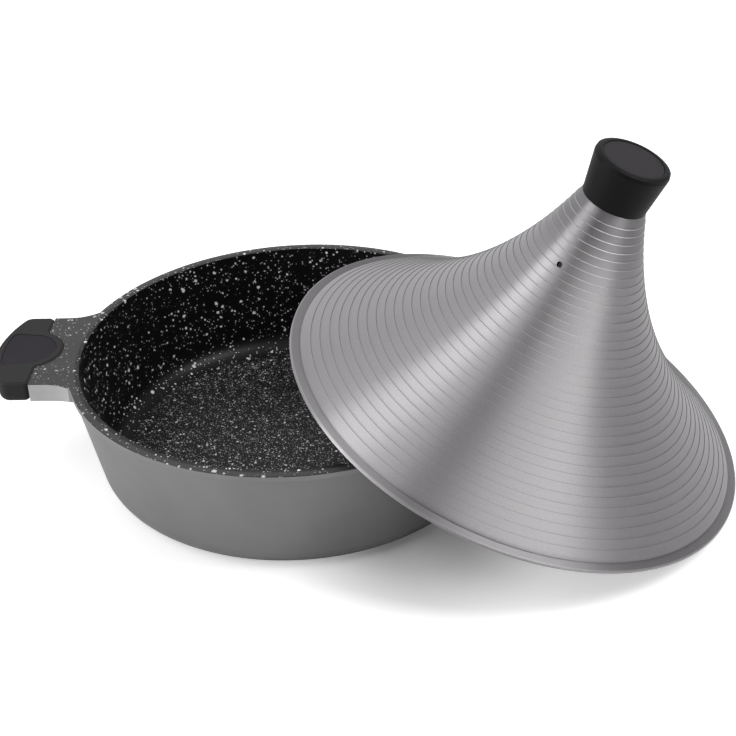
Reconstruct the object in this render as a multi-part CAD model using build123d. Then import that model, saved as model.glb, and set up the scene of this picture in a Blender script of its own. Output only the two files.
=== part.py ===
"""A tagine: a shallow cast pan with two gripped handles, and a tall stepped lid that leans on its rim.

Millimetres, +Z up. The origin is the centre of the pan's underside, on the surface that it stands on.
The handles lie along X. The lid is modelled upright about its own axis, with z = 0 at its seating face,
and is then leant against the pan as in the photograph.
"""
from build123d import *
from math import atan2, cos, degrees, hypot, radians, sin, sqrt, tan
import os

# The pan's casting.
RIM_RADIUS = 145.0
RIM_WIDTH = 7.0
PAN_HEIGHT = 78.5
FOOT_RADIUS = 129.5        # where the straight wall would meet the ground
FOOT_ROUNDING = 16.0
FOOT_WALL = 4.5            # wall thickness at the foot
FLOOR_THICKNESS = 5.5
FLOOR_ROUNDING = 15.0
BAND_HEIGHT = 4.2          # the band that stands proud under the rim
BAND_PROUD = 0.6
RIM_EDGE = 0.5             # bevel on the rim's outer edge

# The steel disc that is let into the underside.
DISC_RADIUS = 102.0
DISC_THICKNESS = 1.4
DISC_CLEARANCE = 0.15

# The lugs and the tongues that carry the grips.
LUG_HALF_WIDTH = 42.0
LUG_THICKNESS = 13.5
LUG_LENGTH = 20.0          # from the rim to the lug's end
LUG_ROOT_ROUNDING = 30.0
LUG_FLAT_HALF_WIDTH = 40.0  # the flat part of its underside, which rises to the band beyond this
LUG_RISE_WIDTH = 20.0
TONGUE_HALF_WIDTH = 29.0
TONGUE_THICKNESS = 7.0
TONGUE_LENGTH = 20.0       # beyond the lug
TONGUE_CORNER_ROUNDING = 7.0

# The grips: a crescent whose middle bulges back over the lug.
GRIP_HALF_WIDTH = 41.5
GRIP_LENGTH = 29.5         # from the lug's end to the tip
GRIP_CORNER_DEPTH = 11.5   # how far the outer corners lie behind the tip
GRIP_CORNER_ROUNDING = 7.0
GRIP_BULGE_RADIUS = 23.0
GRIP_BULGE = 14.0          # how far the middle bulges back over the lug
GRIP_BULGE_BLEND = 4.0
GRIP_PROUD = 1.0           # above and below the lug
GRIP_EDGE = 1.4            # bevel round the top
GRIP_UNDERSIDE_ROUNDING = 5.5  # for the fingers, along the outer side
GRIP_INNER_CORNER = 3.5     # where the outer arc comes back to the lug
GRIP_CLEARANCE = 0.15
PANEL_MARGIN = 5.0         # from the grip's edge to the inlaid panel
PANEL_HALF_WIDTH = 20.5
PANEL_CORNER = 5.0
PANEL_CORNER_DEPTH = 2.5
PANEL_DEPTH = 2.0
PANEL_SUNK = 0.2
PANEL_SEAM = 0.3
SCREW_RADIUS = 2.0
SCREW_HEAD_RADIUS = 3.6
SCREW_HEAD_HEIGHT = 2.2
SCREW_LENGTH = 8.0
SCREW_SUNK = 0.8           # the head's face, above the grip's underside
SCREW_CLEARANCE = 0.1
SCREW_SPARE_DEPTH = 0.5    # of the blind hole, beyond the tip
CROSS_WIDTH = 0.9
CROSS_DEPTH = 1.2
SCREW_SETBACK = 20.0       # from the grip's tip

# The lid's shell.
LID_OVERHANG = 4.4         # of the lid's edge past the rim, when it is closed
BRIM_THICKNESS = 2.4
BRIM_WIDTH = 6.4
BRIM_LEDGE = 1.6           # from the flat brim up to the start of the flare
SEAT_WIDTH = 15.4          # the flat ring underneath that rests on the rim
NECK_RADIUS = 19.8
LID_HEIGHT = 154.9
FLARE_FOOT_ANGLE = 38.45   # slope of the flare where it leaves the brim
FLARE_FOOT_PULL = 43.2
FLARE_NECK_ANGLE = 72.5    # slope where it reaches the neck
FLARE_NECK_PULL = 98.5
STEP_AT_BRIM = 6.2         # spacing of the turned steps, along the slope
STEP_AT_NECK = 4.8
STEP_HEIGHT = 0.45
SHELL_THICKNESS = 3.0
SEAT_THICKNESS = 1.5       # height of the ring's inner edge
INNER_FACETS = 9           # flat bands that follow the flare inside
CROWN_THICKNESS = 4.0
VENT_RADIUS = 1.75
VENT_HEIGHT = 118.4
VENT_DIRECTION = -114.4    # about the lid's axis, from the way it leans

# The knob.
KNOB_HEIGHT = 28.0
KNOB_TOP_RADIUS = 23.6
KNOB_EDGE = 3.0            # the eased top edge
KNOB_EDGE_SHOULDER = 0.9   # where its two bevels meet, below the top and in from the side
CAP_RADIUS = 18.5
CAP_THICKNESS = 2.0
CAP_SEAM = 0.25
CAP_SUNK = 0.3
NUT_RADIUS = 4.5
NUT_LENGTH = 13.0
NUT_DEPTH = 2.0            # from the knob's foot to the threaded insert
NUT_END = 1.0              # the closed end of the insert
KNOB_SCREW_RADIUS = 2.5
KNOB_SCREW_CLEARANCE = 0.1
KNOB_SCREW_HEAD_RADIUS = 5.0
KNOB_SCREW_HEAD_HEIGHT = 3.4
KNOB_SCREW_GRIP = 11.0     # thread inside the insert
WASHER_RADIUS = 7.5
WASHER_THICKNESS = 1.2

# How the lid leans.
LID_TILT = 21.55
LEAN_DIRECTION = -11.9     # about the pan's axis, from +X
RESTING_GAP = 0.3          # between the lid and the rim, and between the lid and the ground

OVERCUT = 1.0              # how far a cut runs past the face that it opens

# Distances from the axes that follow from these sizes.
LUG_REACH = RIM_RADIUS + LUG_LENGTH
TONGUE_REACH = LUG_REACH + TONGUE_LENGTH
GRIP_REACH = LUG_REACH + GRIP_LENGTH
GRIP_BULGE_REACH = LUG_REACH - GRIP_BULGE
LID_RADIUS = RIM_RADIUS + LID_OVERHANG


def rounded_outline(corners):
    """A closed face from (x, y, rounding) corners; a corner with no rounding stays sharp."""
    count = len(corners)
    ends = []
    for i in range(count):
        x, y, radius = corners[i]
        before = corners[i - 1]
        after = corners[(i + 1) % count]
        to_before = Vector(before[0] - x, before[1] - y).normalized()
        to_after = Vector(after[0] - x, after[1] - y).normalized()
        corner = Vector(x, y)
        if radius == 0:
            ends.append((corner, corner, None))
            continue
        half = radians(to_before.get_angle(to_after)) / 2
        start = corner + to_before * (radius / tan(half))
        finish = corner + to_after * (radius / tan(half))
        towards = (to_before + to_after).normalized()
        middle = corner + towards * (radius / sin(half) - radius)
        ends.append((start, finish, middle))
    edges = []
    for i in range(count):
        start, finish, middle = ends[i]
        if middle is not None:
            edges.append(ThreePointArc(start, middle, finish))
        following = ends[(i + 1) % count][0]
        if (following - finish).length > 1e-6:
            edges.append(Line(finish, following))
    return make_face(edges)


def turned(outline):
    """Revolves an outline of (radius, height) about the Z axis."""
    return revolve(Plane.XZ * outline, axis=Axis.Z)


def ring_slab(radius, low, high):
    """A plain round slab between two heights."""
    return Pos(0, 0, low) * Cylinder(radius, high - low, align=(Align.CENTER, Align.CENTER, Align.MIN))


# The casting.

WALL_SLOPE = (RIM_RADIUS - BAND_PROUD - FOOT_RADIUS) / PAN_HEIGHT
LUG_BOTTOM = PAN_HEIGHT - LUG_THICKNESS
GRIP_TOP = PAN_HEIGHT + GRIP_PROUD
GRIP_BOTTOM = LUG_BOTTOM - GRIP_PROUD
TONGUE_BOTTOM = (GRIP_TOP + GRIP_BOTTOM - TONGUE_THICKNESS) / 2


def outer_wall():
    """The pan's outside, solid: rounded foot, straight taper and the proud band at the rim."""
    band_bottom = PAN_HEIGHT - BAND_HEIGHT
    wall_at_band = FOOT_RADIUS + WALL_SLOPE * band_bottom
    return turned(rounded_outline([
        (0, 0, 0),
        (FOOT_RADIUS, 0, FOOT_ROUNDING),
        (wall_at_band, band_bottom, 0),
        (RIM_RADIUS, band_bottom + BAND_PROUD, 0),
        (RIM_RADIUS, PAN_HEIGHT - RIM_EDGE, 0),
        (RIM_RADIUS - RIM_EDGE, PAN_HEIGHT, 0),
        (0, PAN_HEIGHT, 0),
    ]))


def cavity():
    """The hollow: a tapered wall that meets the floor in a wide rounding."""
    mouth = RIM_RADIUS - RIM_WIDTH
    foot = FOOT_RADIUS - FOOT_WALL
    slope = (mouth - foot) / PAN_HEIGHT
    return turned(rounded_outline([
        (0, FLOOR_THICKNESS, 0),
        (foot + slope * FLOOR_THICKNESS, FLOOR_THICKNESS, FLOOR_ROUNDING),
        (mouth + slope * OVERCUT, PAN_HEIGHT + OVERCUT, 0),
        (0, PAN_HEIGHT + OVERCUT, 0),
    ]))


def lug_plan():
    """Both lugs and the disc that they grow from, with hollow roundings at the four roots."""
    root = FOOT_RADIUS + WALL_SLOPE * LUG_BOTTOM - BAND_PROUD
    plan = Circle(root) + Rectangle(2 * LUG_REACH, 2 * LUG_HALF_WIDTH)
    roots = [v for v in plan.vertices() if abs(hypot(v.X, v.Y) - root) < 0.01]
    return fillet(roots, LUG_ROOT_ROUNDING)


def fan(near, far, tip, near_half, far_half):
    """A four-sided face across the X axis whose far side bows out to the tip."""
    sides = Polyline((far, far_half), (near, near_half), (near, -near_half), (far, -far_half))
    return make_face(sides.edges() + [ThreePointArc((far, -far_half), (tip, 0), (far, far_half))])


def near_half_disc(centre, radius):
    """The half of a disc that faces the pan."""
    far_half = Rectangle(2 * radius, 2 * radius + 2 * OVERCUT)
    return Pos(centre, 0) * Circle(radius) - Pos(centre + radius, 0) * far_half


def grip_plan(grow=0.0):
    """The grip seen from above, on the +X side; grow widens it all round."""
    near = LUG_REACH - grow
    half = GRIP_HALF_WIDTH + grow
    tip = GRIP_REACH + grow
    crescent = fan(near, tip - GRIP_CORNER_DEPTH, tip, half, half)
    crescent = fillet(crescent.vertices().group_by(Axis.X)[-1], GRIP_CORNER_ROUNDING + grow)
    crescent = fillet(crescent.vertices().group_by(Axis.X)[0], GRIP_INNER_CORNER)
    plan = crescent + near_half_disc(GRIP_BULGE_REACH + GRIP_BULGE_RADIUS, GRIP_BULGE_RADIUS + grow)
    edge = GRIP_HALF_WIDTH - GRIP_INNER_CORNER - 1
    necks = [v for v in plan.vertices() if abs(v.X - near) < 0.01 and abs(v.Y) < edge]
    return fillet(necks, GRIP_BULGE_BLEND - grow)


def panel_plan(grow=0.0):
    """The inlaid panel on top of a grip: round towards the pan, with a gentle arc along the tip."""
    radius = GRIP_BULGE_RADIUS - PANEL_MARGIN + grow
    centre = GRIP_BULGE_REACH + GRIP_BULGE_RADIUS
    tip = GRIP_REACH - PANEL_MARGIN + grow
    leaf = fan(centre, tip - PANEL_CORNER_DEPTH, tip, radius, PANEL_HALF_WIDTH + grow)
    leaf = fillet(leaf.vertices().group_by(Axis.X)[-1], PANEL_CORNER)
    return leaf + near_half_disc(centre, radius)


def slab(plan, low, high):
    """A plan raised from one height to another."""
    return Pos(0, 0, low) * extrude(plan, high - low)


SCREW_X = GRIP_REACH - SCREW_SETBACK
SCREW_HEAD_BOTTOM = GRIP_BOTTOM + SCREW_SUNK
SCREW_HEAD_TOP = SCREW_HEAD_BOTTOM + SCREW_HEAD_HEIGHT


def upright_rod(x, radius, low, high):
    """A round rod, or the hole for one, standing at a place on the X axis."""
    return Pos(x, 0, 0) * ring_slab(radius, low, high)


def tongue():
    """The flat tongue that a grip slides over, with the blind hole for its screw."""
    length = TONGUE_REACH - GRIP_BULGE_REACH + RIM_WIDTH
    plan = Pos(TONGUE_REACH - length / 2, 0) * Rectangle(length, 2 * TONGUE_HALF_WIDTH)
    plan = fillet(plan.vertices().group_by(Axis.X)[-1], TONGUE_CORNER_ROUNDING)
    hole_top = SCREW_HEAD_TOP + SCREW_LENGTH + SCREW_SPARE_DEPTH
    hole = upright_rod(SCREW_X, SCREW_RADIUS + SCREW_CLEARANCE, TONGUE_BOTTOM - OVERCUT, hole_top)
    return slab(plan, TONGUE_BOTTOM, TONGUE_BOTTOM + TONGUE_THICKNESS) - hole


def lugs():
    """Both lugs, whose undersides rise towards the roots until only the rim's band is left."""
    edge = LUG_FLAT_HALF_WIDTH + LUG_RISE_WIDTH
    band_bottom = PAN_HEIGHT - BAND_HEIGHT
    section = Plane.YZ * make_face(Polyline(
        (-LUG_FLAT_HALF_WIDTH, LUG_BOTTOM), (LUG_FLAT_HALF_WIDTH, LUG_BOTTOM), (edge, band_bottom),
        (edge, PAN_HEIGHT), (-edge, PAN_HEIGHT), (-edge, band_bottom), close=True))
    return slab(lug_plan(), LUG_BOTTOM, PAN_HEIGHT) & extrude(section, LUG_REACH, both=True)


def casting():
    """The whole pan: bowl, lugs and tongues in one piece."""
    bite = slab(grip_plan(GRIP_CLEARANCE), GRIP_BOTTOM - OVERCUT, GRIP_TOP + OVERCUT)
    arm = tongue()
    body = outer_wall() + (lugs() - bite - mirror(bite, Plane.YZ)) + arm + mirror(arm, Plane.YZ)
    pocket = ring_slab(DISC_RADIUS + DISC_CLEARANCE, -OVERCUT, DISC_THICKNESS)
    return body - cavity() - pocket


def induction_disc():
    """The thin steel disc in the underside."""
    return ring_slab(DISC_RADIUS, 0, DISC_THICKNESS)


# What each handle carries, made on the +X side.

def grip():
    """The grip: a sleeve over the tongue, with a recess for its panel and a hole for its screw."""
    solid = slab(grip_plan(), GRIP_BOTTOM, GRIP_TOP)
    solid = chamfer(solid.edges().group_by(Axis.Z)[-1], GRIP_EDGE)
    underside = [e for e in solid.edges().group_by(Axis.Z)[0] if e.center().X > LUG_REACH + GRIP_CLEARANCE]
    solid = fillet(underside, GRIP_UNDERSIDE_ROUNDING)
    reach = TONGUE_REACH + GRIP_CLEARANCE
    slot = Pos(reach / 2, 0) * Rectangle(reach, 2 * (TONGUE_HALF_WIDTH + GRIP_CLEARANCE))
    slot = fillet(slot.vertices().group_by(Axis.X)[-1], TONGUE_CORNER_ROUNDING)
    low = TONGUE_BOTTOM - GRIP_CLEARANCE
    high = TONGUE_BOTTOM + TONGUE_THICKNESS + GRIP_CLEARANCE
    recess = slab(panel_plan(PANEL_SEAM), GRIP_TOP - PANEL_DEPTH, GRIP_TOP + OVERCUT)
    below = GRIP_BOTTOM - OVERCUT
    bore = upright_rod(SCREW_X, SCREW_RADIUS + SCREW_CLEARANCE, below, low + OVERCUT)
    counterbore = upright_rod(SCREW_X, SCREW_HEAD_RADIUS + SCREW_CLEARANCE, below, SCREW_HEAD_TOP)
    return solid - slab(slot, low, high) - recess - bore - counterbore


def grip_panel():
    """The panel that is inlaid in a grip's top."""
    return slab(panel_plan(), GRIP_TOP - PANEL_DEPTH, GRIP_TOP - PANEL_SUNK)


def cross_screw(head_radius, head_bottom, head_top, radius, tip):
    """A pan-head screw that points up, with a cross recess in its head."""
    screw = ring_slab(head_radius, head_bottom, head_top) + ring_slab(radius, head_top, tip)
    for turn in (0, 90):
        screw -= Pos(0, 0, head_bottom) * Rot(0, 0, turn) * Box(head_radius, CROSS_WIDTH, 2 * CROSS_DEPTH)
    return screw


def grip_screw():
    """The screw that holds a grip on its tongue, from below."""
    screw = cross_screw(SCREW_HEAD_RADIUS, SCREW_HEAD_BOTTOM, SCREW_HEAD_TOP,
                        SCREW_RADIUS, SCREW_HEAD_TOP + SCREW_LENGTH)
    return Pos(SCREW_X, 0, 0) * screw


# The lid, upright about its own axis.

FLARE_FOOT = Vector(LID_RADIUS - BRIM_WIDTH, BRIM_THICKNESS + BRIM_LEDGE)
FLARE_TOP = Vector(NECK_RADIUS, LID_HEIGHT)


def flare():
    """The flare's line, from the brim to the neck, as one free curve."""
    foot_pull = Vector(-cos(radians(FLARE_FOOT_ANGLE)), sin(radians(FLARE_FOOT_ANGLE))) * FLARE_FOOT_PULL
    neck_pull = Vector(cos(radians(FLARE_NECK_ANGLE)), -sin(radians(FLARE_NECK_ANGLE))) * FLARE_NECK_PULL
    return Bezier(FLARE_FOOT, FLARE_FOOT + foot_pull, FLARE_TOP + neck_pull, FLARE_TOP)


def outward(curve, share):
    """The unit vector square to the flare at a share of its length, away from the axis."""
    along = curve.tangent_at(share)
    return Vector(along.Y, -along.X).normalized()


def step_shares(curve):
    """Where the turned steps lie, as shares of the flare's length; they close up towards the neck."""
    shares = []
    run = STEP_AT_BRIM
    while run < curve.length - STEP_AT_NECK:
        shares.append(run / curve.length)
        run += STEP_AT_BRIM + (STEP_AT_NECK - STEP_AT_BRIM) * run / curve.length
    return shares


def inner_line(curve, widest, ceiling):
    """The hollow's flank, a wall's thickness inside the flare, from the seating ring to the crown."""
    line = []
    for i in range(INNER_FACETS + 1):
        share = i / INNER_FACETS
        point = curve.position_at(share) - outward(curve, share) * SHELL_THICKNESS
        if point.X >= widest:
            continue
        if point.Y > ceiling:
            before = line[-1]
            share_left = (ceiling - before[1]) / (point.Y - before[1])
            line.append((before[0] + (point.X - before[0]) * share_left, ceiling))
            break
        line.append((point.X, point.Y))
    return line


def lid_shell():
    """The lid: flat brim, stepped flare, closed neck and a hollow that follows the flare inside."""
    curve = flare()
    outline = [(0, 0), (LID_RADIUS, 0), (LID_RADIUS, BRIM_THICKNESS),
               (FLARE_FOOT.X + BRIM_LEDGE / 4, BRIM_THICKNESS), (FLARE_FOOT.X, FLARE_FOOT.Y)]
    for share in step_shares(curve):
        point = curve.position_at(share)
        ledge = point + outward(curve, share) * STEP_HEIGHT
        outline += [(ledge.X, ledge.Y), (point.X, point.Y)]
    outline += [(NECK_RADIUS, LID_HEIGHT), (0, LID_HEIGHT)]
    shell = turned(make_face(Polyline(*outline, close=True)))

    seat_inside = LID_RADIUS - SEAT_WIDTH
    ceiling = LID_HEIGHT - CROWN_THICKNESS
    hollow = [(0, -OVERCUT), (seat_inside, -OVERCUT), (seat_inside, SEAT_THICKNESS)]
    hollow += inner_line(curve, seat_inside, ceiling)
    hollow.append((0, ceiling))
    shell -= turned(make_face(Polyline(*hollow, close=True)))
    shell -= ring_slab(KNOB_SCREW_RADIUS + KNOB_SCREW_CLEARANCE, ceiling - OVERCUT, LID_HEIGHT + OVERCUT)
    return shell - vent()


def vent():
    """The drill that makes the steam hole, square to the flare."""
    curve = flare()
    low, high = 0.0, 1.0
    while high - low > 1e-4:
        middle = (low + high) / 2
        if curve.position_at(middle).Y < VENT_HEIGHT:
            low = middle
        else:
            high = middle
    point = curve.position_at(low)
    way = outward(curve, low)
    drill = Cylinder(VENT_RADIUS, 6 * SHELL_THICKNESS)
    lie = degrees(atan2(way.X, way.Y))
    return Rot(0, 0, VENT_DIRECTION) * Pos(point.X, 0, point.Y) * Rot(0, lie, 0) * drill


def knob_body():
    """The knob: a flared frustum with an eased top edge and a recess for its cap."""
    top = LID_HEIGHT + KNOB_HEIGHT
    flare_per_mm = (KNOB_TOP_RADIUS - NECK_RADIUS) / KNOB_HEIGHT
    solid = turned(make_face(Polyline(
        (0, LID_HEIGHT),
        (NECK_RADIUS, LID_HEIGHT),
        (KNOB_TOP_RADIUS - flare_per_mm * KNOB_EDGE, top - KNOB_EDGE),
        (KNOB_TOP_RADIUS - KNOB_EDGE_SHOULDER, top - KNOB_EDGE_SHOULDER),
        (KNOB_TOP_RADIUS - KNOB_EDGE, top),
        (0, top),
        close=True)))
    solid -= ring_slab(CAP_RADIUS + CAP_SEAM, top - CAP_THICKNESS - CAP_SUNK, top + OVERCUT)
    nut_low = LID_HEIGHT + NUT_DEPTH
    solid -= ring_slab(NUT_RADIUS, nut_low, nut_low + NUT_LENGTH)
    return solid - ring_slab(KNOB_SCREW_RADIUS + KNOB_SCREW_CLEARANCE, LID_HEIGHT - OVERCUT, nut_low + OVERCUT)


def knob_cap():
    """The disc that closes the knob's top."""
    top = LID_HEIGHT + KNOB_HEIGHT - CAP_SUNK
    return ring_slab(CAP_RADIUS, top - CAP_THICKNESS, top)


def knob_nut():
    """The brass insert that is moulded into the knob."""
    low = LID_HEIGHT + NUT_DEPTH
    insert = ring_slab(NUT_RADIUS, low, low + NUT_LENGTH)
    return insert - ring_slab(KNOB_SCREW_RADIUS + KNOB_SCREW_CLEARANCE, low - OVERCUT, low + NUT_LENGTH - NUT_END)


WASHER_TOP = LID_HEIGHT - CROWN_THICKNESS
WASHER_BOTTOM = WASHER_TOP - WASHER_THICKNESS


def knob_washer():
    """The washer between the screw's head and the lid's crown."""
    washer = ring_slab(WASHER_RADIUS, WASHER_BOTTOM, WASHER_TOP)
    hole_radius = KNOB_SCREW_RADIUS + KNOB_SCREW_CLEARANCE
    return washer - ring_slab(hole_radius, WASHER_BOTTOM - OVERCUT, WASHER_TOP + OVERCUT)


def knob_screw():
    """The screw that draws the knob down on the lid, from inside."""
    return cross_screw(KNOB_SCREW_HEAD_RADIUS, WASHER_BOTTOM - KNOB_SCREW_HEAD_HEIGHT, WASHER_BOTTOM,
                       KNOB_SCREW_RADIUS, LID_HEIGHT + NUT_DEPTH + KNOB_SCREW_GRIP)


def leaning_place():
    """Where the upright lid goes: its outer edge meets the ground, and the inner edge of its seating
    ring lies across the outer edge of the rim at two points, one on each side of the line of lean."""
    tilt = radians(LID_TILT)
    centre_height = LID_RADIUS * sin(tilt) + RESTING_GAP
    drop = PAN_HEIGHT + RESTING_GAP - centre_height
    seat_inside = LID_RADIUS - SEAT_WIDTH
    half_chord = sqrt(seat_inside ** 2 - (drop / sin(tilt)) ** 2)
    chord = sqrt((RIM_RADIUS + RESTING_GAP) ** 2 - half_chord ** 2)
    offset = chord + drop / tan(tilt)
    turn = Rot(0, 0, LEAN_DIRECTION)
    return turn * Pos(offset, 0, centre_height) * Rot(0, LID_TILT, 0)


def main():
    os.makedirs("parts", exist_ok=True)
    nodes = {"pan_casting": casting(), "induction_disc": induction_disc()}
    for side in ("right", "left"):
        for name, make in (("grip", grip), ("grip_panel", grip_panel), ("grip_screw", grip_screw)):
            piece = make()
            nodes[side + "_" + name] = piece if side == "right" else mirror(piece, Plane.YZ)
    place = leaning_place()
    for name, make in (("lid_shell", lid_shell), ("knob_body", knob_body), ("knob_cap", knob_cap),
                       ("knob_nut", knob_nut), ("knob_washer", knob_washer), ("knob_screw", knob_screw)):
        nodes[name] = place * make()
    for name, shape in nodes.items():
        solid = shape.solids()[0] if len(shape.solids()) == 1 else shape
        export_step(solid, "parts/" + name + ".step")


main()
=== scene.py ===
"""The tagine's looks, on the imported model: turned aluminium lid, speckled pan, soft grips, studio."""
import bmesh
import bpy
from math import atan2, cos, pi, radians, sin
from mathutils import Matrix, Vector


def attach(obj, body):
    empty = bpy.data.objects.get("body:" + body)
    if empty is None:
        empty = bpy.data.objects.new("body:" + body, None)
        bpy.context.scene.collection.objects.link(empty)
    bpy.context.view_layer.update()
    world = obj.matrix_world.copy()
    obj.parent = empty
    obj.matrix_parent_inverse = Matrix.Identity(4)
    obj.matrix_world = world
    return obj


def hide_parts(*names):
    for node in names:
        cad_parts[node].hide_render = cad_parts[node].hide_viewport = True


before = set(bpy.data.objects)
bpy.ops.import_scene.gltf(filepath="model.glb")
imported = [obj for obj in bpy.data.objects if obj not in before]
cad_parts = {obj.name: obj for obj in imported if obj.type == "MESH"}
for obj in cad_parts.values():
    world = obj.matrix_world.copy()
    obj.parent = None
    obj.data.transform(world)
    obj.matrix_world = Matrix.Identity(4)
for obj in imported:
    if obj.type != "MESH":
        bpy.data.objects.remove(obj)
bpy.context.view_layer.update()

MM = 0.001

# The lid, as it is made and as it leans. Millimetres and degrees.
LID_RADIUS = 149.4
LID_HEIGHT = 154.9
BRIM_THICKNESS = 2.4
BRIM_WIDTH = 6.4
BRIM_LEDGE = 1.6
SEAT_WIDTH = 15.4
SEAT_THICKNESS = 1.5
NECK_RADIUS = 19.8
FLARE_FOOT_ANGLE = 38.45
FLARE_FOOT_PULL = 43.2
FLARE_NECK_ANGLE = 72.5
FLARE_NECK_PULL = 98.5
STEP_AT_BRIM = 6.2
STEP_AT_NECK = 4.8
STEP_HEIGHT = 0.45
SHELL_THICKNESS = 3.0
CROWN_THICKNESS = 4.0
SCREW_HOLE_RADIUS = 2.6
VENT_RADIUS = 1.75
VENT_HEIGHT = 118.4
VENT_DIRECTION = -114.4
LID_TILT = 21.55
LEAN_DIRECTION = -11.9
LID_CENTRE = (142.093, -29.944, 55.177)
SOFT_EDGE = 0.22           # how far a turned edge is rounded off
STEP_RISE = (0.33, 0.66)   # where a step's slope has points, as shares of its width

# How finely the lid is made.
CURVE_POINTS = 2000        # straight pieces that measure the flare's curve
OUTLINE_POINTS = 600       # places along the curve where the steps may lie
INNER_SKIP = 6             # every so many of these places gives a point of the hollow
VENT_POINTS = 800          # places along the curve to look for the steam hole's height
TURNS = 320                # facets round the lid
VENT_TURNS = 32            # facets round the steam hole

# The pan, in millimetres.
PAN_RIM_RADIUS = 145.0
PAN_RIM_INSIDE = 138.0
PAN_HEIGHT = 78.5
HOLLOW_RADIUS = 126.8      # a cone within the wall: its radius on the ground
HOLLOW_SLOPE = 0.172       # and how much wider it gets with each millimetre of height


def lid_matrix():
    """Carries the upright lid to its leaning place."""
    place = Matrix.Translation(Vector(LID_CENTRE) * MM)
    turn = Matrix.Rotation(radians(LEAN_DIRECTION), 4, "Z")
    tilt = Matrix.Rotation(radians(LID_TILT), 4, "Y")
    return place @ turn @ tilt @ Matrix.Scale(MM, 4)


def flare_points(count):
    """Points of the flare's curve, evenly spaced along it, with the outward direction at each."""
    foot = Vector((LID_RADIUS - BRIM_WIDTH, BRIM_THICKNESS + BRIM_LEDGE))
    top = Vector((NECK_RADIUS, LID_HEIGHT))
    foot_angle = radians(FLARE_FOOT_ANGLE)
    neck_angle = radians(FLARE_NECK_ANGLE)
    a = foot + Vector((-cos(foot_angle), sin(foot_angle))) * FLARE_FOOT_PULL
    b = top + Vector((cos(neck_angle), -sin(neck_angle))) * FLARE_NECK_PULL
    line = []
    for i in range(CURVE_POINTS + 1):
        t = i / CURVE_POINTS
        u = 1 - t
        line.append(foot * u ** 3 + a * (3 * u * u * t) + b * (3 * u * t * t) + top * t ** 3)
    runs = [0.0]
    for i in range(CURVE_POINTS):
        runs.append(runs[-1] + (line[i + 1] - line[i]).length)
    out = []
    k = 0
    for i in range(count + 1):
        run = runs[-1] * i / count
        while k < CURVE_POINTS - 1 and runs[k + 1] < run:
            k += 1
        share = (run - runs[k]) / (runs[k + 1] - runs[k])
        point = line[k].lerp(line[k + 1], share)
        along = (line[k + 1] - line[k]).normalized()
        out.append((point, Vector((along.y, -along.x))))
    return out, runs[-1]


def lathe(name, outline, dressing, turns=TURNS, closed=True):
    """A mesh turned about Z from (radius, height) points in millimetres. The dressing gives the
    stretches of the outline that don't have the first material: the number of a stretch's first
    point, and the number of its material."""
    mesh = bpy.data.meshes.new(name)
    bm = bmesh.new()
    rings = []
    for radius, height in outline:
        if radius < 1e-6:
            rings.append([bm.verts.new((0, 0, height))])
            continue
        ring = []
        for i in range(turns):
            angle = 2 * pi * i / turns
            ring.append(bm.verts.new((radius * cos(angle), radius * sin(angle), height)))
        rings.append(ring)
    pairs = list(zip(rings, rings[1:]))
    if closed:
        pairs.append((rings[-1], rings[0]))
    for number, (low, high) in enumerate(pairs):
        if len(low) == 1 and len(high) == 1:
            continue
        for i in range(turns):
            j = (i + 1) % turns
            corners = [low[i % len(low)], low[j % len(low)], high[j % len(high)], high[i % len(high)]]
            corners = list(dict.fromkeys(corners))
            face = bm.faces.new(corners)
            face.material_index = dressing.get(number, 0)
    bmesh.ops.recalc_face_normals(bm, faces=bm.faces)
    bm.to_mesh(mesh)
    bm.free()
    obj = bpy.data.objects.new(name, mesh)
    bpy.context.scene.collection.objects.link(obj)
    return obj


def shade(obj, angle=35):
    """Smooth shading, with edges sharper than the angle kept."""
    for face in obj.data.polygons:
        face.use_smooth = True
    bm = bmesh.new()
    bm.from_mesh(obj.data)
    for edge in bm.edges:
        edge.smooth = len(edge.link_faces) != 2 or edge.calc_face_angle(0) < radians(angle)
    bm.to_mesh(obj.data)
    bm.free()


def cut(obj, cutter):
    """Takes the cutter's volume out of the object."""
    modifier = obj.modifiers.new("cut", "BOOLEAN")
    modifier.object = cutter
    modifier.solver = "EXACT"
    bpy.context.view_layer.update()
    evaluated = obj.evaluated_get(bpy.context.evaluated_depsgraph_get())
    mesh = bpy.data.meshes.new_from_object(evaluated)
    obj.modifiers.clear()
    obj.data = mesh
    bpy.data.objects.remove(cutter)


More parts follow.
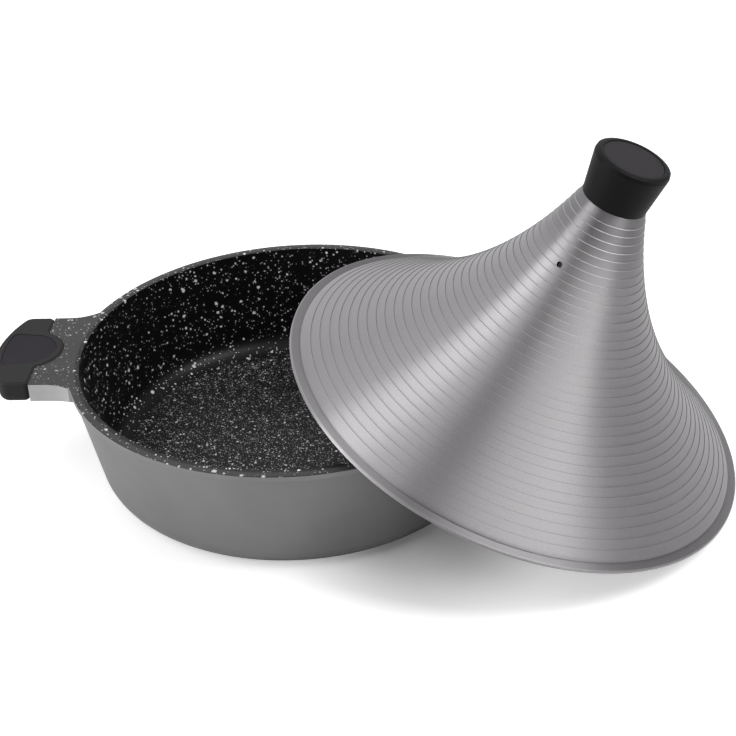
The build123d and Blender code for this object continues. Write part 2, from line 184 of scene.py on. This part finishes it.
def lid_outline():
    """The shell's section, from the seating ring out over the brim, up the steps and back inside,
    with the numbers of the stretches that are the steps' ledges."""
    curve, length = flare_points(OUTLINE_POINTS)

    def at(run):
        return curve[min(OUTLINE_POINTS, round(run / length * OUTLINE_POINTS))]

    soft = SOFT_EDGE
    grooves = []
    outline = [(LID_RADIUS - SEAT_WIDTH, 0), (LID_RADIUS - soft * 2, 0), (LID_RADIUS, soft * 2)]
    outline += [(LID_RADIUS, BRIM_THICKNESS - soft * 2), (LID_RADIUS - soft * 2, BRIM_THICKNESS)]
    foot = curve[0][0]
    outline += [(foot.x + BRIM_LEDGE / 4, BRIM_THICKNESS), (foot.x, foot.y)]
    run = 0.0
    while True:
        pitch = STEP_AT_BRIM + (STEP_AT_NECK - STEP_AT_BRIM) * run / length
        end = run + pitch
        if end >= length - STEP_AT_NECK:
            break
        for share in STEP_RISE:
            point, out = at(run + pitch * share)
            spot = point + out * STEP_HEIGHT * share
            outline.append((spot.x, spot.y))
        point, out = at(end)
        along = Vector((-out.y, out.x))
        shoulder = point + out * STEP_HEIGHT
        grooves += [len(outline), len(outline) + 1]
        for spot in (shoulder - along * soft, shoulder - out * soft * 0.6, point + along * soft * 0.2):
            outline.append((spot.x, spot.y))
        run = end
    outline += [(NECK_RADIUS + 0.1, LID_HEIGHT - soft), (NECK_RADIUS - soft, LID_HEIGHT)]
    outline += [(SCREW_HOLE_RADIUS, LID_HEIGHT), (SCREW_HOLE_RADIUS, LID_HEIGHT - CROWN_THICKNESS)]
    ceiling = LID_HEIGHT - CROWN_THICKNESS
    inner = []
    for point, out in curve[::INNER_SKIP]:
        spot = point - out * SHELL_THICKNESS
        if spot.x < LID_RADIUS - SEAT_WIDTH and spot.y < ceiling:
            inner.append((spot.x, spot.y))
    inner.append((inner[-1][0] - 0.4, ceiling))
    outline += reversed(inner)
    outline.append((LID_RADIUS - SEAT_WIDTH, SEAT_THICKNESS))
    return outline, grooves


def make_lid(finishes_and_shade):
    """The lid's shell, with its steam hole drilled square to the flare. The materials are the shell's,
    the steps' ledges' (their darker grey is painted shade) and a near-black painted shade on the hole's
    wall."""
    outline, grooves = lid_outline()
    # The ledges take material 1, a flat grey darker than the shell: painted shade in the steps' creases.
    lid = lathe("lid_turned_shell", outline, {number: 1 for number in grooves})
    curve, _ = flare_points(VENT_POINTS)
    point, out = min(curve, key=lambda p: abs(p[0].y - VENT_HEIGHT))
    reach = 3 * SHELL_THICKNESS
    cylinder = [(0, -reach), (VENT_RADIUS, -reach), (VENT_RADIUS, reach), (0, reach)]
    # The drill's faces take material 2, so the cut leaves a near-black painted shade on the hole's wall.
    drill = lathe("vent_drill", cylinder, {0: 2, 1: 2, 2: 2}, turns=VENT_TURNS, closed=False)
    for look in finishes_and_shade:
        lid.data.materials.append(look)
        drill.data.materials.append(look)
    lean = Matrix.Rotation(atan2(out.x, out.y), 4, "Y")
    spin = Matrix.Rotation(radians(VENT_DIRECTION), 4, "Z")
    drill.data.transform(spin @ Matrix.Translation((point.x, 0, point.y)) @ lean)
    cut(lid, drill)
    lid.data.transform(lid_matrix())
    shade(lid)
    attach(lid, "lid")
    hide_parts("lid_shell")


# Materials.

class Graph:
    """A material's node tree with short calls to add and join nodes."""

    def __init__(self, name):
        self.material = bpy.data.materials.new(name)
        self.material.use_nodes = True
        self.tree = self.material.node_tree
        self.shader = self.tree.nodes["Principled BSDF"]

    def node(self, kind, **settings):
        made = self.tree.nodes.new(kind)
        for key, value in settings.items():
            setattr(made, key, value)
        return made

    def link(self, source, target):
        self.tree.links.new(source, target)

    def feed(self, socket, value):
        if isinstance(value, bpy.types.NodeSocket):
            self.link(value, socket)
        else:
            socket.default_value = value

    def place(self):
        return self.node("ShaderNodeTexCoord").outputs["Object"]

    def math(self, operation, a, b):
        made = self.node("ShaderNodeMath", operation=operation)
        self.feed(made.inputs[0], a)
        self.feed(made.inputs[1], b)
        return made.outputs[0]

    def vector(self, operation, a, b=None):
        made = self.node("ShaderNodeVectorMath", operation=operation)
        self.feed(made.inputs[0], a)
        if b is not None:
            self.feed(made.inputs[1], b)
        is_number = operation in ("DOT_PRODUCT", "LENGTH")
        return made.outputs["Value" if is_number else "Vector"]

    def noise(self, vector, scale, detail):
        made = self.node("ShaderNodeTexNoise")
        self.link(vector, made.inputs["Vector"])
        made.inputs["Scale"].default_value = scale
        made.inputs["Detail"].default_value = detail
        return made.outputs["Fac"]

    def ramp(self, value, low, high, out_low=0.0, out_high=1.0):
        """Goes softly from one number to another while the value goes from low to high."""
        made = self.node("ShaderNodeMapRange", interpolation_type="SMOOTHSTEP")
        self.feed(made.inputs["Value"], value)
        self.feed(made.inputs["From Min"], low)
        self.feed(made.inputs["From Max"], high)
        self.feed(made.inputs["To Min"], out_low)
        self.feed(made.inputs["To Max"], out_high)
        return made.outputs["Result"]

    def mix(self, share, a, b):
        """A colour between two."""
        made = self.node("ShaderNodeMixRGB")
        for socket, value in zip(made.inputs, (share, a, b)):
            self.feed(socket, value)
        return made.outputs[0]

    def blend(self, share, a, b):
        """A number between two."""
        made = self.node("ShaderNodeMix", data_type="FLOAT")
        numbers = [socket for socket in made.inputs if socket.type == "VALUE"]
        for socket, value in zip(numbers[:3], (share, a, b)):
            self.feed(socket, value)
        return made.outputs[0]

    def bump(self, height, distance, strength):
        made = self.node("ShaderNodeBump")
        made.inputs["Strength"].default_value = strength
        made.inputs["Distance"].default_value = distance
        self.link(height, made.inputs["Height"])
        return made.outputs["Normal"]

    def set(self, **values):
        """Feeds the shader's own sockets, whose names have _ for a space here."""
        for key, value in values.items():
            self.feed(self.shader.inputs[key.replace("_", " ")], value)


def grey(level, tint=(1, 1, 1)):
    """A linear colour from an sRGB grey level of 0 to 255, with each part times the tint's."""
    linear = ((level / 255 + 0.055) / 1.055) ** 2.4
    return (linear * tint[0], linear * tint[1], linear * tint[2], 1.0)


def darker(colour, share):
    """The colour with its brightness times a share, or a brighter one with a share over 1."""
    return tuple(min(1.0, part * share) for part in colour[:3]) + (1.0,)


# The turned metal. Scales are in cells to the metre, bumps in metres.
FINE_RINGS = 2600
BROAD_RINGS = 420
METAL_GRAIN = 1300
METAL_CLOUDS = 26
GRAIN_STRENGTH = 1.7
DARKEST_RING = 0.80        # brightness of the darkest rings beside the lightest
BRIM_PAINTED_SHADE = 0.64          # painted shade: brightness of the flat brim beside the flare
NECK_FROM = 108.0          # height where the colour starts to shift to the neck's brightness
NECK_TO = 148.0            # and where it is full
ACROSS_THE_RINGS = 0.25    # a quarter turn: highlights run along the slope, not round the rings
RING_BUMP = 0.00002


def turned_metal(name, axis, centre, colour, roughness, anisotropy, neck_share):
    """Metal turned on a lathe: fine rings about an axis, which stretch its highlights along the
    slope. The neck's brightness is a share of the rest's."""
    g = Graph(name)
    place = g.place()
    offset = g.vector("SUBTRACT", place, centre)
    along = g.vector("DOT_PRODUCT", offset, axis)
    across = g.vector("CROSS_PRODUCT", axis, offset)
    radius = g.vector("LENGTH", across)
    turn = g.vector("NORMALIZE", across)
    world = g.node("ShaderNodeVectorTransform", vector_type="VECTOR",
                   convert_from="OBJECT", convert_to="WORLD")
    g.link(turn, world.inputs[0])
    rings = g.node("ShaderNodeCombineXYZ")
    g.link(along, rings.inputs[0])
    g.link(radius, rings.inputs[1])
    fine = g.noise(rings.outputs[0], FINE_RINGS, 2)
    broad = g.noise(rings.outputs[0], BROAD_RINGS, 3)
    cloud = g.noise(place, METAL_CLOUDS, 4)
    grain = g.noise(place, METAL_GRAIN, 2)
    tone = g.math("ADD", g.math("MULTIPLY", fine, 0.5), g.math("MULTIPLY", broad, 0.5))
    tone = g.math("ADD", g.math("MULTIPLY", tone, 0.8), g.math("MULTIPLY", cloud, 0.2))
    unevenness = g.math("MULTIPLY", g.math("SUBTRACT", grain, 0.5), GRAIN_STRENGTH)
    tone = g.math("ADD", tone, unevenness)
    metal = g.mix(tone, darker(colour, DARKEST_RING), colour)
    neck = g.ramp(along, NECK_FROM * MM, NECK_TO * MM)
    metal = g.mix(neck, metal, darker(colour, neck_share))

    # Painted shade on the brim's flat top: below the flare's foot, above the edge's middle and within its
    # rounding.
    below = g.ramp(along, (BRIM_THICKNESS + 1.0) * MM, (BRIM_THICKNESS + 0.3) * MM)
    within = g.ramp(radius, (LID_RADIUS - 0.5) * MM, (LID_RADIUS - 0.9) * MM)
    above = g.math("GREATER_THAN", along, (BRIM_THICKNESS / 2) * MM)
    brim = g.math("MULTIPLY", g.math("MULTIPLY", below, within), above)
    metal = g.mix(brim, metal, darker(colour, BRIM_PAINTED_SHADE))

    g.set(Base_Color=metal, Metallic=1.0)
    rough = g.math("ADD", g.math("MULTIPLY", tone, 0.06), roughness - 0.03)
    g.set(Roughness=g.math("ADD", rough, g.math("MULTIPLY", grain, 0.04)))
    g.set(Tangent=world.outputs[0])
    g.shader.inputs["Anisotropic"].default_value = anisotropy
    g.shader.inputs["Anisotropic Rotation"].default_value = ACROSS_THE_RINGS
    g.set(Normal=g.bump(g.math("ADD", fine, g.math("MULTIPLY", grain, 0.5)), RING_BUMP, 0.6))
    return g.material


# The specks of the pan's coating. Each kind has its cells to the metre, a speck's size in its
# cell, the share of the cells that have one, and a shift that keeps the kinds apart.
LARGE_SPECKS = (240, 0.36, 0.13, 0.0)
MEDIUM_SPECKS = (400, 0.38, 0.18, 3.1)
SMALL_SPECKS = (700, 0.40, 0.26, 7.7)
DUST_SPECKS = (1250, 0.46, 0.40, 11.3)
SPECK_WOBBLE = 0.55        # how far a speck's outline strays, as a share of its cell
SPECK_BLUR = 0.04          # softness of its edge, as a share of its cell


def speckles(g, place, kind):
    """White spots of one kind, uneven in size, in the cells that its share lets through."""
    scale, size, share, shift = kind
    shifted = g.vector("ADD", place, (shift, shift * 2, shift * 3))
    wobble = g.node("ShaderNodeTexNoise")
    g.link(shifted, wobble.inputs["Vector"])
    wobble.inputs["Scale"].default_value = scale * 2.5
    wobble.inputs["Detail"].default_value = 3
    bend = g.node("ShaderNodeVectorMath", operation="MULTIPLY_ADD")
    g.link(wobble.outputs["Color"], bend.inputs[0])
    bend.inputs[1].default_value = (SPECK_WOBBLE / scale,) * 3
    g.link(shifted, bend.inputs[2])
    cells = g.node("ShaderNodeTexVoronoi", feature="F1", distance="EUCLIDEAN")
    g.link(bend.outputs[0], cells.inputs["Vector"])
    cells.inputs["Scale"].default_value = scale
    split = g.node("ShaderNodeSeparateColor")
    g.link(cells.outputs["Color"], split.inputs[0])
    let_through = g.math("LESS_THAN", split.outputs[0], share)
    unevenness = g.math("ADD", g.math("MULTIPLY", split.outputs[1], 0.8), 0.2)
    radius = g.math("MULTIPLY", unevenness, size)
    spot = g.ramp(g.math("SUBTRACT", cells.outputs["Distance"], radius), SPECK_BLUR, -SPECK_BLUR)
    return g.math("MULTIPLY", spot, let_through)


# Where the coating changes, in millimetres.
UNDERSIDE = 3.0            # the pan's underside lies lower than this, its floor higher
RIM_SKIN = 0.45            # the rim's speckled top reaches this far down
LIP_EDGE = 3.2             # the coating comes up over the rim's inner edge to here
LIP_CORE = 2.2             # and is full up to here
COATING_SLACK = 0.2        # the inside is a little wider than the rim's opening
LUG_START = 1.2            # what lies this far out from the rim is a lug
FLOOR_SPECKS_FROM = 110.0  # the floor's specks are full within this radius
FLOOR_SPECKS_TO = 118.0    # and the wall's outside this one

# The coating's and the enamel's greys, from 0 to 255. Where there are two, the surface varies
# between them.
COATING_BLACK = (2, 9)
COATING_TINT = (1, 0.95, 1.15)
COATING_SPECK = 222
RIM_GREY = (47, 58)
RIM_SPECK = 190
ENAMEL_GREY = (128, 140)
ENAMEL_GRAIN_GREY = 112
LUG_GREY = (168, 182)
LIP_SHARE = 0.85           # how much of the rim's lip looks like the inside
ENAMEL_METAL = 0.45        # how metallic the enamel looks
COATING_SPECULAR = 0.26
COATING_MOTTLING = 60      # scales in cells to the metre, bumps in metres
COATING_GRAIN = 1600
ENAMEL_CLOUDS = 35
COATING_BUMP = 0.00004


def pan_coating():
    """Satin grey outside, and a black non-stick coating with white specks inside and on the rim."""
    g = Graph("pan_coating_finish")
    place = g.place()
    split = g.node("ShaderNodeSeparateXYZ")
    g.link(place, split.inputs[0])
    height = split.outputs["Z"]
    flat = g.node("ShaderNodeCombineXYZ")
    g.link(split.outputs["X"], flat.inputs[0])
    g.link(split.outputs["Y"], flat.inputs[1])
    radius = g.vector("LENGTH", flat.outputs[0])
    rim_level = g.math("GREATER_THAN", height, (PAN_HEIGHT - RIM_SKIN) * MM)
    lip = g.ramp(radius, (PAN_RIM_INSIDE + LIP_EDGE) * MM, (PAN_RIM_INSIDE + LIP_CORE) * MM)
    within = g.math("LESS_THAN", radius, (PAN_RIM_INSIDE + COATING_SLACK) * MM)
    above_floor = g.math("GREATER_THAN", height, UNDERSIDE * MM)
    inside = g.math("MULTIPLY", within, above_floor)
    # The outer wall lies outside the cone, and the hollow's surface inside it.
    cone = g.math("ADD", g.math("MULTIPLY", height, HOLLOW_SLOPE), HOLLOW_RADIUS * MM)
    inside = g.math("MULTIPLY", inside, g.math("LESS_THAN", radius, cone))
    floor = g.ramp(radius, FLOOR_SPECKS_TO * MM, FLOOR_SPECKS_FROM * MM)
    wall = g.math("SUBTRACT", 1.0, floor)

    # Specks, larger and sparser on the wall, finer and closer on the floor.
    large = speckles(g, place, LARGE_SPECKS)
    medium = speckles(g, place, MEDIUM_SPECKS)
    small = speckles(g, place, SMALL_SPECKS)
    dust = speckles(g, place, DUST_SPECKS)
    coarse = g.math("MAXIMUM", large, medium)
    wall_specks = g.math("MAXIMUM", coarse, g.math("MULTIPLY", small, 0.8))
    floor_specks = g.math("MAXIMUM", g.math("MULTIPLY", dust, 0.7), g.math("MAXIMUM", medium, small))
    rim_specks = g.math("MAXIMUM", coarse, g.math("MULTIPLY", small, 0.7))
    floor_specks = g.math("MULTIPLY", floor_specks, floor)
    wall_specks = g.math("MULTIPLY", wall_specks, wall)
    specks = g.math("MAXIMUM", floor_specks, wall_specks)

    mottling = g.noise(place, COATING_MOTTLING, 5)
    grain = g.noise(place, COATING_GRAIN, 2)
    darkest, lightest = COATING_BLACK
    black = g.mix(mottling, grey(darkest, COATING_TINT), grey(lightest, COATING_TINT))
    inner = g.mix(specks, black, grey(COATING_SPECK))
    rim = g.mix(mottling, grey(RIM_GREY[0]), grey(RIM_GREY[1]))
    rim = g.mix(rim_specks, rim, grey(RIM_SPECK))
    outer = g.mix(g.noise(place, ENAMEL_CLOUDS, 4), grey(ENAMEL_GREY[0]), grey(ENAMEL_GREY[1]))
    outer = g.mix(g.math("MULTIPLY", grain, 0.25), outer, grey(ENAMEL_GRAIN_GREY))
    lug = g.math("GREATER_THAN", radius, (PAN_RIM_RADIUS + LUG_START) * MM)
    outer = g.mix(lug, outer, g.mix(mottling, grey(LUG_GREY[0]), grey(LUG_GREY[1])))
    rim = g.mix(g.math("MULTIPLY", lip, LIP_SHARE), rim, inner)
    colour = g.mix(rim_level, outer, rim)
    colour = g.mix(inside, colour, inner)
    g.set(Base_Color=colour)
    outer_rough = g.math("ADD", g.math("MULTIPLY", grain, 0.10), 0.34)
    inner_rough = g.math("ADD", g.math("MULTIPLY", specks, 0.15), 0.42)
    g.set(Roughness=g.blend(inside, outer_rough, inner_rough))
    coated = g.math("MAXIMUM", inside, rim_level)
    g.set(Metallic=g.math("MULTIPLY", g.math("SUBTRACT", 1.0, coated), ENAMEL_METAL))
    g.shader.inputs["Specular IOR Level"].default_value = COATING_SPECULAR
    height_map = g.math("ADD", g.math("MULTIPLY", grain, 0.5), g.math("MULTIPLY", specks, 0.8))
    g.set(Normal=g.bump(height_map, COATING_BUMP, 0.5))
    return g.material


# The plastics and the machined metals: scales in cells to the metre, bumps in metres.
PLASTIC_GRAIN = 1800
PLASTIC_CLOUDS = 45
PLASTIC_BUMP = 0.00006
PLASTIC_GREYS = (0.86, 1.12)    # darkest and lightest, as shares of the grey level
MACHINED_RINGS = 190
MACHINED_CLOUDS = 80
MACHINED_DARKEST = 0.75


def soft_plastic(name, level, tint, roughness, specular):
    """Matt moulded plastic or rubber: a fine leather-like grain and a little unevenness."""
    g = Graph(name)
    place = g.place()
    grain = g.noise(place, PLASTIC_GRAIN, 3)
    cloud = g.noise(place, PLASTIC_CLOUDS, 4)
    low = grey(level * PLASTIC_GREYS[0], tint)
    high = grey(level * PLASTIC_GREYS[1], tint)
    g.set(Base_Color=g.mix(cloud, low, high))
    g.set(Roughness=g.math("ADD", g.math("MULTIPLY", grain, 0.14), roughness - 0.07))
    g.set(Normal=g.bump(grain, PLASTIC_BUMP, 0.45))
    g.shader.inputs["Specular IOR Level"].default_value = specular
    return g.material


def plain_metal(name, colour, roughness):
    """Machined metal for the screws, washer, insert and base disc: fine rings and dull patches."""
    g = Graph(name)
    place = g.place()
    radial = g.node("ShaderNodeTexWave", wave_type="RINGS", rings_direction="Z")
    g.link(place, radial.inputs["Vector"])
    radial.inputs["Scale"].default_value = MACHINED_RINGS
    radial.inputs["Distortion"].default_value = 0.6
    rings = radial.outputs["Fac"]
    cloud = g.noise(place, MACHINED_CLOUDS, 4)
    tone = g.math("ADD", g.math("MULTIPLY", rings, 0.4), g.math("MULTIPLY", cloud, 0.6))
    g.set(Base_Color=g.mix(tone, darker(colour, MACHINED_DARKEST), colour), Metallic=1.0)
    g.set(Roughness=g.math("ADD", g.math("MULTIPLY", cloud, 0.2), roughness - 0.1))
    g.set(Normal=g.bump(rings, RING_BUMP, 0.4))
    return g.material


def dress(node, material):
    """Gives a CAD node a better material."""
    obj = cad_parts[node]
    for slot in obj.material_slots:
        slot.material = material


# The studio.

CAMERA_PLACE = (110.7, -885.0, 603.7)    # millimetres
CAMERA_HEADING = 94.094    # of its line of sight, about +Z from +X
CAMERA_PITCH = 31.424      # down from the horizon
CAMERA_ROLL = -2.896
PHOTO_PIXELS = 736
FOCAL_PIXELS = 1600
SENSOR = 36.0

FLOOR_HALF_WIDTH = 6.0     # metres, as all that follows
FLOOR_GAP = 0.0002         # below the part, so that no two faces share a plane
FLOOR_GREY = 0.88
SHADOW_PLACE = (0.085, -0.11, 0)    # where the pan and the lid shade the floor most, and where a painted shadow is centred
SHADOW_CORE = 0.015        # painted shadow: the floor's camera-only glow is least within this radius
SHADOW_EDGE = 0.09         # and full outside this one
GLOW_IN_SHADOW = 0.08
GLOW = 0.46

ROOM_BACK = (-0.17, 0.98, 0.0)      # the way to the room's bright side
ROOM_DARK = 0.22           # brightness of the room in front
ROOM_LIGHT = 1.0           # and of its bright side
ROOM_COLOUR = (0.99, 0.99, 1.0, 1)

# Soft boxes: name, place, what they face, size and power.
LIGHTS = (
    ("left box", (-0.88, -0.60, 1.3), (0.12, -0.02, 0.1), (1.25, 1.0), 10),
    ("right box", (1.09, -0.29, 1.39), (0.14, -0.03, 0.12), (0.55, 1.0), 15),
    ("top", (-0.2, 0.5, 1.8), (0.0, 0, 0.0), (1.2, 1.0), 4),
    ("left fill", (-1.2, -0.35, 0.30), (-0.1, 0, 0.04), (0.6, 0.6), 5),
)


def make_camera():
    """A camera where the photograph's stood."""
    heading = radians(CAMERA_HEADING)
    pitch = radians(CAMERA_PITCH)
    roll = radians(CAMERA_ROLL)
    forward = Vector((cos(heading) * cos(pitch), sin(heading) * cos(pitch), -sin(pitch)))
    level = forward.cross(Vector((0, 0, 1))).normalized()
    rise = level.cross(forward)
    right = level * cos(roll) + rise * sin(roll)
    up = rise * cos(roll) - level * sin(roll)
    data = bpy.data.cameras.new("camera")
    data.sensor_width = SENSOR
    data.lens = FOCAL_PIXELS / PHOTO_PIXELS * SENSOR
    data.clip_end = 20
    camera = bpy.data.objects.new("camera", data)
    turn = Matrix((right, up, -forward)).transposed().to_4x4()
    camera.matrix_world = Matrix.Translation(Vector(CAMERA_PLACE) * MM) @ turn
    bpy.context.scene.collection.objects.link(camera)
    bpy.context.scene.camera = camera


def soft_light(name, place, target, size, power):
    """A rectangular soft box that faces a target."""
    data = bpy.data.lights.new(name, "AREA")
    data.shape = "RECTANGLE"
    data.size, data.size_y = size
    data.energy = power
    light = bpy.data.objects.new(name, data)
    away = Vector(place) - Vector(target)
    turn = away.to_track_quat("Z", "Y").to_matrix().to_4x4()
    light.matrix_world = Matrix.Translation(place) @ turn
    bpy.context.scene.collection.objects.link(light)


def make_floor():
    """A wide pale floor, which the camera sees nearly white away from the part's shadow."""
    mesh = bpy.data.meshes.new("floor")
    bm = bmesh.new()
    bmesh.ops.create_grid(bm, x_segments=1, y_segments=1, size=FLOOR_HALF_WIDTH)
    bm.to_mesh(mesh)
    bm.free()
    floor = bpy.data.objects.new("floor", mesh)
    floor.location.z = -FLOOR_GAP
    bpy.context.scene.collection.objects.link(floor)
    g = Graph("pale_floor")
    g.set(Base_Color=(FLOOR_GREY, FLOOR_GREY, FLOOR_GREY, 1.0), Roughness=0.9)
    g.shader.inputs["Specular IOR Level"].default_value = 0.0
    seen = g.node("ShaderNodeLightPath").outputs["Is Camera Ray"]
    # Painted shadow: the glow the camera sees drops from GLOW to GLOW_IN_SHADOW near SHADOW_PLACE.
    distance = g.vector("LENGTH", g.vector("SUBTRACT", g.place(), SHADOW_PLACE))
    glow = g.ramp(distance, SHADOW_CORE, SHADOW_EDGE, GLOW_IN_SHADOW, GLOW)
    g.set(Emission_Color=(1, 1, 1, 1), Emission_Strength=g.math("MULTIPLY", seen, glow))
    mesh.materials.append(g.material)


def make_world():
    """White behind the object for the camera, a soft grey room for everything else."""
    world = bpy.data.worlds.new("room")
    bpy.context.scene.world = world
    world.use_nodes = True
    tree = world.node_tree
    tree.nodes.clear()
    path = tree.nodes.new("ShaderNodeLightPath")
    room = tree.nodes.new("ShaderNodeBackground")
    white = tree.nodes.new("ShaderNodeBackground")
    place = tree.nodes.new("ShaderNodeTexCoord")
    towards_back = tree.nodes.new("ShaderNodeVectorMath")
    towards_back.operation = "DOT_PRODUCT"
    towards_back.inputs[1].default_value = ROOM_BACK
    level = tree.nodes.new("ShaderNodeMapRange")
    level.interpolation_type = "SMOOTHSTEP"
    level.inputs["From Min"].default_value = -0.1
    level.inputs["From Max"].default_value = 1.0
    level.inputs["To Min"].default_value = ROOM_DARK
    level.inputs["To Max"].default_value = ROOM_LIGHT
    tree.links.new(place.outputs["Generated"], towards_back.inputs[0])
    tree.links.new(towards_back.outputs["Value"], level.inputs["Value"])
    tree.links.new(level.outputs["Result"], room.inputs["Strength"])
    room.inputs["Color"].default_value = ROOM_COLOUR
    white.inputs["Color"].default_value = (1, 1, 1, 1)
    mix = tree.nodes.new("ShaderNodeMixShader")
    out = tree.nodes.new("ShaderNodeOutputWorld")
    tree.links.new(path.outputs["Is Camera Ray"], mix.inputs[0])
    tree.links.new(room.outputs[0], mix.inputs[1])
    tree.links.new(white.outputs[0], mix.inputs[2])
    tree.links.new(mix.outputs[0], out.inputs[0])


def main():
    """Dresses the part and builds the studio."""
    turn = lid_matrix().to_3x3().normalized()
    axis = turn @ Vector((0, 0, 1))
    centre = Vector(LID_CENTRE) * MM
    lid_grey = grey(202, (1, 0.968, 0.995))
    aluminium = turned_metal("turned_aluminium", axis, centre, lid_grey,
                             roughness=0.54, anisotropy=0.97, neck_share=0.62)
    # The ledges' grey: painted shade in the steps' creases, darker than the shell and not streaked; it
    # turns lighter towards the neck.
    groove_shade = turned_metal("groove_aluminium_painted_shade", axis, centre, grey(150),
                          roughness=0.5, anisotropy=0.0, neck_share=1.9)
    # Painted shade: a near-black for the steam hole's wall, standing in for the dark inside the hole.
    hole_shade = soft_plastic("vent_painted_shade", level=1, tint=(1, 1, 1), roughness=0.9, specular=0.0)
    make_lid((aluminium, groove_shade, hole_shade))

    dress("pan_casting", pan_coating())
    grip = soft_plastic("grip_soft_touch", level=31, tint=(1, 1, 1.02), roughness=0.66, specular=0.3)
    panel = soft_plastic("panel_soft_touch", level=40, tint=(1.08, 0.93, 1.2), roughness=0.7, specular=0.14)
    knob = soft_plastic("knob_moulding", level=7, tint=(1.04, 1, 1.02), roughness=0.5, specular=0.16)
    cap = soft_plastic("cap_moulding", level=32, tint=(1.1, 0.88, 1.1), roughness=0.5, specular=0.16)
    steel = plain_metal("machined_steel", (0.62, 0.62, 0.63, 1), roughness=0.32)
    base = plain_metal("base_disc_steel", (0.55, 0.55, 0.56, 1), roughness=0.36)
    brass = plain_metal("insert_brass", (0.72, 0.52, 0.24, 1), roughness=0.3)
    for side in ("left", "right"):
        dress(side + "_grip", grip)
        dress(side + "_grip_panel", panel)
        dress(side + "_grip_screw", steel)
    dress("knob_body", knob)
    dress("knob_cap", cap)
    dress("knob_nut", brass)
    dress("knob_washer", steel)
    dress("knob_screw", steel)
    dress("induction_disc", base)

    make_camera()
    make_world()
    make_floor()
    scene = bpy.context.scene
    scene.view_settings.view_transform = "Standard"
    for light in LIGHTS:
        soft_light(*light)
    scene.view_layers[0].update()


main()
